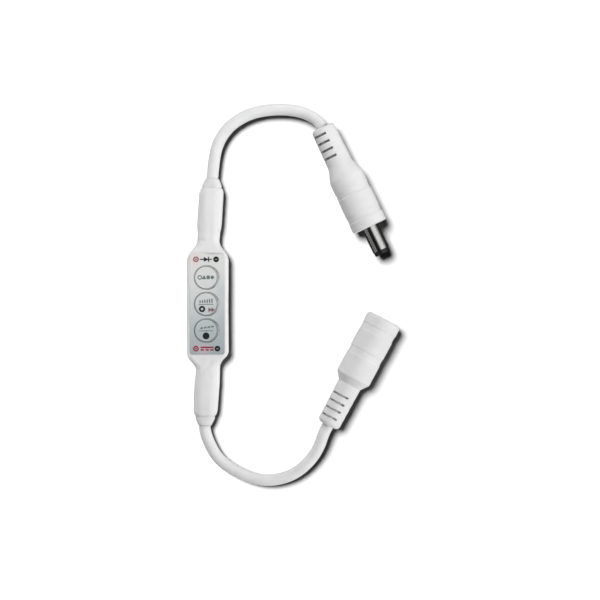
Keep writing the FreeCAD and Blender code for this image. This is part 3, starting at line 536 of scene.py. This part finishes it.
@dataclass(frozen=True)
class Studio:
    """Camera, floor and lamps."""

    centre: Point = (29.4, 1.28)  # Place in plan that the camera looks down on
    width: float = 192.0  # Width of the view
    lens: float = 120.0  # Focal length of the long lens
    sensor: float = 36.0  # Width of the sensor
    level: float = 4.5  # Height at which the view has its width
    clip: Point = (0.01, 50.0)  # Nearest and furthest distance in metres that the camera sees
    floor_size: float = 6.0  # Side of the square floor in metres
    paper: Point3 = (0.2, 0.115, 0.007)  # Tone of the floor to the camera, to matt surfaces and to mirrors
    sun: Lamp = Lamp("floor_sun", 18.6, 138.0, 66.5, 1.0)  # Lamp that lights the floor alone
    sun_width: float = 22.0  # Its width as an angle, which softens the shadow
    # Lamps that light the object
    softboxes: tuple[Lamp, ...] = (
        Lamp("right_softbox", 1.5, 345.0, 45.0, 0.7), Lamp("near_softbox", 2.5, 315.0, 17.0, 0.7),
        Lamp("far_softbox", 1.05, 90.0, 40.0, 0.4), Lamp("left_softbox", 0.2, 190.0, 22.0, 0.25, (0.25, 0.16)))
    # Light strips that mirrors see, each an angle from straight up and its light
    strips: tuple[Point, ...] = ((-85.0, 0.05), (-74.0, 0.3), (-60.0, 0.2), (-50.0, 0.01), (-14.0, 0.02),
                                 (0.0, 0.4), (10.0, 1.0), (50.0, 1.0), (66.0, 0.5), (85.0, 0.05))
    gloom: float = 0.03  # Light of the world on matt surfaces

    def camera(self) -> None:
        """Add the camera, which looks straight down through a long lens."""
        data = bpy.data.cameras.new("camera")
        data.lens = self.lens
        data.sensor_width = self.sensor
        data.clip_start, data.clip_end = self.clip
        camera = hang("camera", data)
        distance = (self.width * self.lens / self.sensor + self.level) * MM
        camera.location = (self.centre[0] * MM, self.centre[1] * MM, distance)
        bpy.context.scene.camera = camera

    def floor(self) -> Object:
        """Add the floor, which its own lamp turns white to the camera, and darker in what it throws back.

        Returns:
            The floor.
        """
        bpy.ops.mesh.primitive_plane_add(size=self.floor_size)
        floor = bpy.context.active_object
        floor.name = "floor"
        material = bpy.data.materials.new("white_paper_sweep")
        material.use_nodes = True
        tree = material.node_tree
        tree.nodes.clear()
        to_camera, to_matt, to_mirror = self.paper
        path = add_node(tree, "LightPath")
        seen = add_node(tree, "Math", {
            0: path.outputs["Is Camera Ray"], 1: path.outputs["Is Transmission Ray"]}, operation="MAXIMUM")
        sheen = add_node(tree, "MapRange", {
            "Value": path.outputs["Is Glossy Ray"], "To Min": to_matt, "To Max": to_mirror})
        tone = add_node(tree, "MapRange", {"Value": seen, "To Min": sheen, "To Max": to_camera})
        paper = add_node(tree, "BsdfDiffuse", {"Color": tone})
        add_node(tree, "OutputMaterial", {"Surface": paper})
        floor.data.materials.append(material)
        return floor

    def lamps(self, floor: Object) -> None:
        """Add the soft lamps: one for the floor's narrow shadow, the others for the object.

        Args:
            floor: the floor, which has a lamp of its own.
        """
        only_floor = bpy.data.collections.new("floor_receives")
        only_floor.objects.link(floor)
        but_floor = bpy.data.collections.new("object_receives")
        but_floor.objects.link(floor)
        but_floor.collection_objects[0].light_linking.link_state = "EXCLUDE"
        sun = bpy.data.lights.new(self.sun.name, "SUN")
        sun.angle = radians(self.sun_width)
        self.place_lamp(sun, self.sun, only_floor)
        for softbox in self.softboxes:
            data = bpy.data.lights.new(softbox.name, "AREA")
            data.shape = "RECTANGLE"
            data.size, data.size_y = softbox.size
            self.place_lamp(data, softbox, but_floor)

    def place_lamp(self, data: Light, record: Lamp, receivers: Collection) -> None:
        """Hang a lamp beside the object, turned to the middle of the view.

        Args:
            data: Blender's lamp.
            record: its power and place.
            receivers: collection that says what the lamp lights.
        """
        data.energy = record.power
        lamp = hang(record.name, data)
        turn, lift = radians(record.heading), radians(record.rise)
        towards = Vector((cos(lift) * cos(turn), cos(lift) * sin(turn), sin(lift)))
        lamp.location = Vector((self.centre[0] * MM, self.centre[1] * MM, 0.0)) + towards * record.distance
        lamp.rotation_euler = towards.to_track_quat("Z", "Y").to_euler()
        lamp.light_linking.receiver_collection = receivers
        lamp.visible_camera = False
        lamp.visible_glossy = False

    def strip_light(self, tree: NodeTree) -> Node:
        """Light of the strips that run along the plug's axis, by the ray's angle round it.

        Args:
            tree: the world's node tree.

        Returns:
            The node that gives the light.
        """
        turn = radians(PLUG_HEADING + 90.0)
        ray = add_node(tree, "TexCoord").outputs["Generated"]
        side = add_node(tree, "VectorMath", {0: ray, 1: (cos(turn), sin(turn), 0.0)}, operation="DOT_PRODUCT")
        split = add_node(tree, "SeparateXYZ", {"Vector": ray})
        angle = add_node(tree, "Math", {0: side.outputs["Value"], 1: split.outputs["Z"]}, operation="ARCTAN2")
        share = add_node(tree, "MapRange", {"Value": angle, "From Min": -pi / 2, "From Max": pi / 2})
        strips = add_node(tree, "ValToRGB", {"Fac": share})
        fill_ramp(strips, [((degrees + 90.0) / 180.0, (light, light, light, 1.0)) for degrees, light in self.strips])
        return strips

    def world(self) -> None:
        """Set the world: white to the camera, near dark to matt surfaces, and in mirrors a row of strips."""
        world = bpy.data.worlds.new("studio")
        bpy.context.scene.world = world
        world.use_nodes = True
        tree = world.node_tree
        tree.nodes.clear()
        path = add_node(tree, "LightPath")
        colours = ((self.gloom, self.gloom, self.gloom, 1.0), self.strip_light(tree), (1.0, 1.0, 1.0, 1.0))
        matt, mirror, white = (add_node(tree, "Background", {"Color": colour}) for colour in colours)
        glossy = add_node(tree, "MixShader", {0: path.outputs["Is Glossy Ray"], 1: matt, 2: mirror})
        whole = add_node(tree, "MixShader", {0: path.outputs["Is Camera Ray"], 1: glossy, 2: white})
        add_node(tree, "OutputWorld", {"Surface": whole})
        bpy.context.scene.view_settings.view_transform = "Standard"


@dataclass(frozen=True)
class Cable:
    """Free stretch of cable, a smooth spline through a given route."""

    name: str  # The piece's name
    node: str  # The CAD node that it stands for
    route: tuple[Point3, ...]  # Control points in metres, from the inner sleeve to the moulding
    length: float  # Real length in metres
    far_end: str  # What is on the far end
    pieces: str  # Name prefix of the CAD nodes that hang on it
    diameter: float = 0.0037  # Diameter in metres
    steps: int = 24  # Straight steps of the curve between two points
    facets: int = 8  # How finely its round is divided

    def build(self) -> None:
        data = bpy.data.curves.new(self.name, "CURVE")
        data.dimensions = "3D"
        data.resolution_u = self.steps
        data.bevel_depth = self.diameter / 2
        data.bevel_resolution = self.facets
        spline = data.splines.new("NURBS")
        spline.points.add(len(self.route) - 1)
        for point, place in zip(spline.points, self.route):
            point.co = (*place, 1.0)
        spline.order_u = 3
        spline.use_endpoint_u = True
        cable = hang(self.name, data)
        data.materials.append(CABLE_FINISH.material())
        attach(cable, HOUSING)
        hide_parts(self.node)
        LOG.info("%s is %.0f mm long", self.name, self.length / MM)


OUTPUT_CABLE = Cable(
    "output_cord", "output_cable",
    ((0.001342, 0.0402, 0.00305), (0.0018, 0.0472, 0.0031), (0.0038, 0.0533, 0.0031),
     (0.0081, 0.0583, 0.0032), (0.015, 0.0617, 0.0034), (0.0236, 0.0625, 0.0038),
     (0.0298, 0.0615, 0.0045), (0.0331, 0.0599, 0.0051), (0.035, 0.0587, 0.0056),
     (0.03655, 0.05645, 0.00578)),
    0.0522, "plug", "plug_")
INPUT_CABLE = Cable(
    "input_cord", "input_cable",
    ((-0.001149, -0.0389, 0.00305), (-0.0011, -0.041, 0.0031), (0.0009, -0.0459, 0.0031),
     (0.0035, -0.05, 0.0031), (0.0091, -0.0538, 0.0032), (0.0161, -0.0565, 0.0034),
     (0.0224, -0.0564, 0.0037), (0.0284, -0.0541, 0.0041), (0.0329, -0.0499, 0.0046),
     (0.0356, -0.0456, 0.0052), (0.0369, -0.0413, 0.0057), (0.0383, -0.0387, 0.00578)),
    0.058, "connector", "socket_")


@dataclass(frozen=True)
class Crease:
    """One fold pressed into the top of the shrunk tube."""

    start: Point  # Its start in plan
    end: Point  # Its end in plan
    width: float  # Half width of the groove
    depth: float  # How far its middle sinks
    lip: float = 0.12  # Height of the lip beside it, as a share of the depth
    lip_place: float = 2.0  # Distance of the lip from the groove's line, in half widths

    def drop(self, x: float, y: float) -> float:
        """How far a place in plan sinks: a groove with a soft lip beside it.

        Args:
            x: its place along X.
            y: its place along Y.

        Returns:
            The drop, below 0 on the lip.
        """
        start = Vector(self.start)
        way = Vector(self.end) - start
        to_place = Vector((x, y)) - start
        share = min(max(to_place.dot(way) / way.length_squared, 0.0), 1.0)
        away = (to_place - way * share).length / self.width
        return self.depth * (exp(-away ** 2) - self.lip * exp(-(away - self.lip_place) ** 2))


@dataclass(frozen=True)
class ShrinkSleeve:
    """White tube shrunk over the board and the cables' inner sleeves."""

    voxel: float = 0.3  # Grid of the rebuilt skin
    passes: int = 5  # How often the skin is smoothed
    lip: float = 0.2  # Height to which the skin rises round the label
    lip_reach: float = 1.1  # Distance over which it does
    lump: float = 0.07  # Height of the tube's slow unevenness
    lump_size: float = 5.0  # Size of the unevenness
    fold: float = 0.03  # Depth of the lengthwise folds on the necks
    folds: int = 7  # Number of folds round the tube
    wander: Point = (1.2, 6.0)  # How far in radians the folds wander round the tube, and over what length
    neck_middles: Point = (22.5, -21.0)  # Distances of the two necks' middles from the sleeve's middle
    neck_reach: float = 5.0  # Half length of the folded stretch
    axis_height: float = 3.0  # Height of the tube's middle
    pull: float = 0.1  # Share by which the tube's ends have drawn in
    pull_reach: float = 0.9  # Distance over which they have
    rim: float = 0.5  # Length of the last stretch, whose middle the end draws in to
    flank: float = 0.3  # Distance by which the right flank lies closer to the board
    flank_reach: Point = (5.5, 19.0)  # Half width and half length at which it does so in full
    flank_edge: int = 8  # Power that sets how suddenly this stops towards the necks
    upward: float = 0.2  # Least upward part of the outward direction on which creases and the label's lip act
    table: float = 0.01  # Least height of the skin
    # Low and high corner of the label
    label: tuple[Vector, ...] = tuple(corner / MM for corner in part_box("face_label"))
    # Folds seen on the top
    creases: tuple[Crease, ...] = (
        Crease((-3.6, 21.4), (-3.2, 20.0), 0.4, 0.8),
        Crease((-3.3, 20.9), (-1.6, 20.3), 0.5, 0.2),
        Crease((-5.7, -17.2), (-4.6, -19.2), 0.4, 0.8),
        Crease((-1.8, -21.6), (1.2, -18.4), 0.5, 0.16),
        Crease((3.4, 22.8), (2.6, 19.8), 0.6, 0.15),
        Crease((3.6, -18.9), (2.2, -21.6), 0.6, 0.15),
    )

    def shift(self, place: Vector) -> Vector:
        """Where a point of the skin moves to.

        Args:
            place: point of the skin.

        Returns:
            The moved point.
        """
        x, y, z = place
        around = Vector((x, 0.0, z - self.axis_height))
        outward = around.normalized() if around.length else Vector((0.0, 0.0, 1.0))
        swell = self.lump * noise.noise(place / self.lump_size)
        for middle in self.neck_middles:
            near = exp(-((y - middle) / self.neck_reach) ** 2)
            turn = atan2(outward.z, outward.x)
            wander = self.wander[0] * noise.noise(Vector((y / self.wander[1], middle, 0.0)))
            swell += self.fold * near * cos(self.folds * turn + wander)
        moved = place + outward * swell
        half_width, half_length = self.flank_reach
        flank = min(max(x / half_width, 0.0), 1.0) ** 2 * exp(-(y / half_length) ** self.flank_edge)
        moved.x -= self.flank * flank
        if outward.z > self.upward:
            moved.z -= outward.z * sum(crease.drop(x, y) for crease in self.creases)
            moved.z += self.label_lip(x, y)
        moved.z = max(moved.z, self.table)
        return moved

    def label_lip(self, x: float, y: float) -> float:
        """Rise of the skin round the label's outline."""
        low, high = self.label
        away = max(low.x - x, x - high.x, low.y - y, y - high.y)
        return self.lip * exp(-(away / self.lip_reach) ** 2) if away > 0.0 else 0.0

    def draw_in(self, piece: Object) -> None:
        """Narrow both ends of the rebuilt tube towards their own middle, over three times the pull's reach."""
        for side in (-1.0, 1.0):
            tip = max(side * vertex.co.y for vertex in piece.data.vertices)
            last = [vertex for vertex in piece.data.vertices if side * vertex.co.y > tip - 3 * self.pull_reach * MM]
            rim = [vertex.co for vertex in last if side * vertex.co.y > tip - self.rim * MM]
            middle = sum(rim, Vector()) / len(rim)
            for vertex in last:
                share = self.pull * exp(-((tip - side * vertex.co.y) / (self.pull_reach * MM)) ** 2)
                vertex.co.x += share * (middle.x - vertex.co.x)
                vertex.co.z += share * (middle.z - vertex.co.z)

    def build(self) -> None:
        """Rebuild the CAD tube as one soft skin, then move it into folds."""
        piece = soft_skin("shrink_sleeve", self.voxel, self.passes)
        for vertex in piece.data.vertices:
            vertex.co = self.shift(vertex.co / MM) * MM
        self.draw_in(piece)
        settle(piece, "sleeve_tube", HOUSING, SLEEVE_FINISH)
        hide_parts("shrink_sleeve")


@dataclass(frozen=True)
class InnerSleeves:
    """Thin tubes that stand out of the sleeve's ends round the cables."""

    voxel: float = 0.2  # Grid of the rebuilt skin
    passes: int = 3  # How often the skin is smoothed

    def build(self) -> None:
        """Rebuild both tubes with a soft skin."""
        for end in ("output", "input"):
            node = end + "_inner_sleeve"
            piece = soft_skin(node, self.voxel, self.passes)
            settle(piece, end + "_thin_tube", HOUSING, INNER_SLEEVE_FINISH)
            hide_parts(node)


class Ink(Enum):
    """The printed colours."""

    # Screen-printing inks on the film: matt and dense, thin at their edges
    RED = InkFinish("screen_ink_red", "86283e", "93384d", drift=0.4)
    PALE_RED = InkFinish("screen_ink_faded_red", "7b6167", "8a7076")
    DARK_RED = InkFinish("screen_ink_brown_red", "8f6065", "a2757a")
    BLACK = InkFinish("screen_ink_black", "0f1213", "1a1e1f", roughness=0.55)
    DARK = InkFinish("screen_ink_dark_grey", "3a3e40", "484d4f")
    GREY = InkFinish("screen_ink_grey", "6b7475", "7d8687")
    OUTLINE = InkFinish("screen_ink_brown_grey", "5f6160", "6f706e")
    PALE = InkFinish("screen_ink_pale_grey", "98a1a2", "a9b1b2")


@dataclass
class Print:
    """Flat printed marks that stand as a thin coat on the label or on a key."""

    name: str  # The piece's name
    body: str  # CAD body that carries it
    ink: Ink  # Printed colour
    slot: str = "label_silver"  # Material slot of the record
    coat: float = 0.02  # Thickness of the ink
    top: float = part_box("face_label")[1].z / MM  # Height of the face that it is printed on
    disc_sides: int = 40  # Straight sides of a disc
    ring_sides: int = 72  # Straight sides of a ring
    corner: float = 0.3  # Radius of a bar's corners, as a share of its shorter side
    parts: list[Object] = field(default_factory=list)  # Marks made so far

    def start(self, centre: Point, radius: float, sides: int, turn: float = 0.0) -> None:
        """Begin a mark as a filled shape with equal sides.

        Args:
            centre: middle of the shape.
            radius: radius of its corners.
            sides: number of its sides.
            turn: turn in plan.
        """
        bpy.ops.mesh.primitive_circle_add(vertices=sides, radius=radius * MM, fill_type="NGON",
                                          location=(centre[0] * MM, centre[1] * MM, self.top * MM),
                                          rotation=(0.0, 0.0, radians(turn)))

    def keep(self) -> "Print":
        """Give the mark that is being made its coat and keep it for joining."""
        piece = bpy.context.active_object
        apply_modifier(piece, "SOLIDIFY", thickness=self.coat * MM, offset=1.0)
        self.parts.append(piece)
        return self

    def disc(self, centre: Point, radius: float) -> "Print":
        """Add a filled disc."""
        self.start(centre, radius, self.disc_sides)
        return self.keep()

    def wedge(self, centre: Point, size: float, turn: float) -> "Print":
        """Add a filled triangle that points along its turn."""
        self.start(centre, size, 3, turn - 90.0)
        return self.keep()

    def ring(self, centre: Point, outer: float, inner: float) -> "Print":
        """Add a ring between two radii."""
        self.start(centre, outer, self.ring_sides)
        with editing():
            bpy.ops.mesh.inset(thickness=(outer - inner) * MM)
            bpy.ops.mesh.delete(type="FACE")
        return self.keep()

    def bar(self, centre: Point, width: float, height: float, turn: float = 0.0, rise: float = 0.0) -> "Print":
        """Add a bar with rounded corners.

        Args:
            centre: middle of the bar.
            width: length of the bar.
            height: width of its stroke.
            turn: turn in plan.
            rise: extra height, for a mark on top of another.

        Returns:
            The same print, for further marks.
        """
        bpy.ops.mesh.primitive_plane_add(size=1.0, location=(centre[0] * MM, centre[1] * MM, (self.top + rise) * MM),
                                         rotation=(0.0, 0.0, radians(turn)))
        bpy.context.active_object.scale = (width * MM, height * MM, 1.0)
        bpy.ops.object.transform_apply()
        with editing():
            bpy.ops.mesh.bevel(affect="VERTICES", offset=self.corner * min(width, height) * MM, segments=3)
        return self.keep()

    def row(self, first: Point, step: Point, count: int, size: Point, growth: float = 0.0,
            turn: float = 0.0) -> "Print":
        """Add a row of bars.

        Args:
            first: middle of the first bar.
            step: way from one bar to the next.
            count: number of bars.
            size: length and stroke of the first bar.
            growth: what the stroke grows by from one bar to the next.
            turn: turn of each bar.

        Returns:
            The same print, for further marks.
        """
        for index in range(count):
            centre = (first[0] + step[0] * index, first[1] + step[1] * index)
            self.bar(centre, size[0], size[1] + growth * index, turn)
        return self

    def build(self) -> None:
        """Join the marks into one piece."""
        choose(self.parts[0])
        for part in self.parts:
            part.select_set(True)
        if len(self.parts) > 1:
            bpy.ops.object.join()
        with editing():
            bpy.ops.mesh.normals_make_consistent(inside=False)
        settle(bpy.context.active_object, self.name, self.body, self.ink.value)


@dataclass(frozen=True)
class Face:
    """The silver label, the key caps' outlines and the generic signs printed on them."""

    key_x: float = -0.6  # Place of the keys' line
    key_pitch: float = 8.45  # Distance between keys
    ring_radius: float = 3.68  # Outer radius of the ring printed on a key
    line: float = 0.2  # Width of that ring
    row_y: float = 14.25  # Distance of the two rows of polarity signs from the middle
    plus_x: float = -3.82  # Place of the plus signs
    minus_x: Point = (2.62, 3.04)  # Places of the output's and the input's minus sign
    sign: Point = (0.92, 0.5)  # Outer radius of a polarity sign and inner radius of its ring
    plus: Point = (0.76, 0.26)  # Length and stroke of the plus sign's arms
    minus: Point = (0.8, 0.2)  # Length and stroke of the minus sign
    over: float = 0.002  # Rise of a bar that crosses another mark, so that their faces don't coincide
    on_coat: float = 0.021  # Rise of a mark that stands on another's coat
    key_line: Point = (4.7, 0.24)  # Length and stroke of the thin line across a key
    lap: float = 0.5  # Distance by which the film's right edge laps further than the plate's
    edge: float = 0.07  # Width of the film's softened edge
    edge_angle: float = 50.0  # Least angle of the edges that are softened

    def label(self) -> None:
        """Dress the label's plate with softened edges."""
        piece = copy_of("face_label")
        for vertex in piece.data.vertices:
            if vertex.co.x > 0.0:
                vertex.co.x += self.lap * MM
        apply_modifier(piece, "BEVEL", width=self.edge * MM, segments=2, limit_method="ANGLE",
                       angle_limit=radians(self.edge_angle), harden_normals=True)
        settle(piece, "label_film", HOUSING, LABEL_FINISH)
        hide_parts("face_label")

    def outlines(self) -> None:
        """Print the dark ring that marks each key."""
        for index, key in enumerate(KEYS):
            centre = (self.key_x, (index - 1) * self.key_pitch)
            rim = self.on_key(f"outline_on_{key}", key, Ink.OUTLINE)
            rim.ring(centre, self.ring_radius, self.ring_radius - self.line).build()

    @staticmethod
    def on_key(name: str, key: str, ink: Ink) -> Print:
        """Begin a print that rides on a key."""
        return Print(name, key, ink, slot="key_silver")

    def polarity(self, name: str, y: float, minus_x: float, ring_ink: Ink) -> None:
        """Print a row's plus in a ring at the left and its minus on a disc at the right."""
        left, right = (self.plus_x, y), (minus_x, y)
        length, stroke = self.plus
        plus = Print(f"plus_sign_{name}", HOUSING, ring_ink).ring(left, *self.sign)
        plus.bar(left, length, stroke).bar(left, stroke, length, rise=self.over).build()
        Print(f"minus_disc_{name}", HOUSING, Ink.BLACK).disc(right, self.sign[0]).build()
        Print(f"minus_sign_{name}", HOUSING, Ink.PALE).bar(right, *self.minus, rise=self.on_coat).build()

    def signs(self) -> None:
        """Print the generic signs: a diode, a direct-current sign, and marks for the three keys' work."""
        self.polarity("output", self.row_y, self.minus_x[0], Ink.DARK_RED)
        self.polarity("input", -self.row_y, self.minus_x[1], Ink.RED)
        y = self.row_y
        diode = Print("diode_sign", HOUSING, Ink.DARK).bar((-0.65, y), 3.9, 0.36)
        diode.wedge((-0.85, y), 0.95, 0.0).bar((0.2, y), 0.4, 1.65, rise=self.over).build()
        y = -self.row_y
        current = Print("direct_current_sign", HOUSING, Ink.RED).bar((-0.25, y + 0.4), 4.2, 0.5)
        current.row((-1.8, y - 0.4), (1.55, 0.0), 3, (1.1, 0.5)).build()
        self.upper_key()
        self.middle_key()
        self.lower_key()

    def upper_key(self) -> None:
        """Four small shapes in a row for the choice of a programme."""
        x, y = self.key_x, self.key_pitch + 0.05
        shapes = self.on_key("programme_sign", "key_upper", Ink.GREY)
        shapes.ring((x - 2.0, y), 0.74, 0.42).wedge((x - 0.65, y - 0.15), 0.85, 90.0)
        shapes.bar((x + 0.7, y), 1.15, 1.15).bar((x + 2.0, y), 1.05, 1.05, 45.0).build()

    def middle_key(self) -> None:
        """Rising bars over a thin line, a dark ring and a faded arrow pair for the speed."""
        x, y = self.key_x, 0.0
        bars = self.on_key("speed_bars", "key_middle", Ink.GREY)
        bars.row((x - 1.9, y + 0.75), (0.76, 0.06), 6, (0.4, 0.8), growth=0.12)
        bars.bar((x, y - 0.1), *self.key_line).build()
        self.on_key("slower_ring", "key_middle", Ink.BLACK).ring((x - 1.26, y - 1.6), 1.0, 0.4).build()
        arrows = self.on_key("faster_arrows", "key_middle", Ink.PALE_RED)
        arrows.wedge((x + 1.15, y - 1.85), 0.8, 0.0).wedge((x + 2.1, y - 1.85), 0.8, 0.0).build()

    def lower_key(self) -> None:
        """Fading bars over a solid dot for the colour."""
        x, y = self.key_x, -self.key_pitch
        bars = self.on_key("colour_bars", "key_lower", Ink.GREY)
        bars.row((x - 1.4, y + 0.75), (1.15, 0.16), 4, (0.9, 0.5), turn=12.0)
        bars.bar((x, y - 0.12), *self.key_line).build()
        self.on_key("colour_dot", "key_lower", Ink.BLACK).disc((x, y - 1.72), 1.1).build()


@dataclass(frozen=True)
class SnapDomes:
    """Steel domes under the keys, built at rest; a pressed key flattens them."""

    height: float = 0.4  # Dome height
    sheet: float = 0.1  # Steel thickness
    keep: float = 0.25  # Share of the height that is left at the end of the travel
    sides: int = 48  # Straight sides of the rim
    cuts: int = 7  # Cuts between the rim and the top
    smooth: float = 40.0  # Angle up to which an edge is shaded round

    def cap(self, low: Vector, high: Vector) -> Object:
        """Model one dome as the cap of a ball with a flat rim.

        Args:
            low: low corner of the CAD dome in metres.
            high: its high corner in metres.

        Returns:
            The dome.
        """
        half = (high.x - low.x) / 2
        radius = (half ** 2 + (self.height * MM) ** 2) / (2 * self.height * MM)
        bpy.ops.mesh.primitive_circle_add(vertices=self.sides, radius=half, fill_type="TRIFAN",
                                          location=((low.x + high.x) / 2, (low.y + high.y) / 2, low.z))
        piece = bpy.context.active_object
        with editing():
            bpy.ops.mesh.subdivide(number_cuts=self.cuts)
        for vertex in piece.data.vertices:
            away = min(vertex.co.xy.length, half)
            vertex.co.z = sqrt(radius ** 2 - away ** 2) - (radius - self.height * MM)
        apply_modifier(piece, "SOLIDIFY", thickness=self.sheet * MM, offset=-1.0)
        for vertex in piece.data.vertices:
            vertex.co.z = max(vertex.co.z, 0.0)
        choose(piece)
        bpy.ops.object.shade_smooth_by_angle(angle=radians(self.smooth))
        return piece

    def build(self) -> None:
        """Model one dome for each key and attach it to the housing."""
        for key in KEYS:
            node = key.replace("key", "snap_dome")
            low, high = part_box(node)
            piece = self.cap(low, high)
            settle(piece, node.replace("snap_dome", "dome_sheet"), HOUSING, DOME_FINISH)
            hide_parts(node)
            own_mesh(piece)


def dress_nodes() -> None:
    """Give every CAD node that stays its own finish."""
    for pattern, finish in NODE_FINISHES.items():
        for name in fnmatch.filter(NODES, pattern):
            for slot in NODES[name].material_slots:
                slot.material = finish.material()
            LOG.info("%s has %s", name, finish.name)


def main() -> None:
    """Build the camera and the cords first, then the rest of the object and the lights."""
    logging.basicConfig(level=logging.INFO, format="%(name)s: %(message)s")
    studio = Studio()
    studio.camera()
    for cable in (OUTPUT_CABLE, INPUT_CABLE):
        cable.build()
    ShrinkSleeve().build()
    InnerSleeves().build()
    face = Face()
    face.label()
    face.outlines()
    face.signs()
    SnapDomes().build()
    dress_nodes()
    studio.lamps(studio.floor())
    studio.world()


if __name__ == "__main__":
    main()
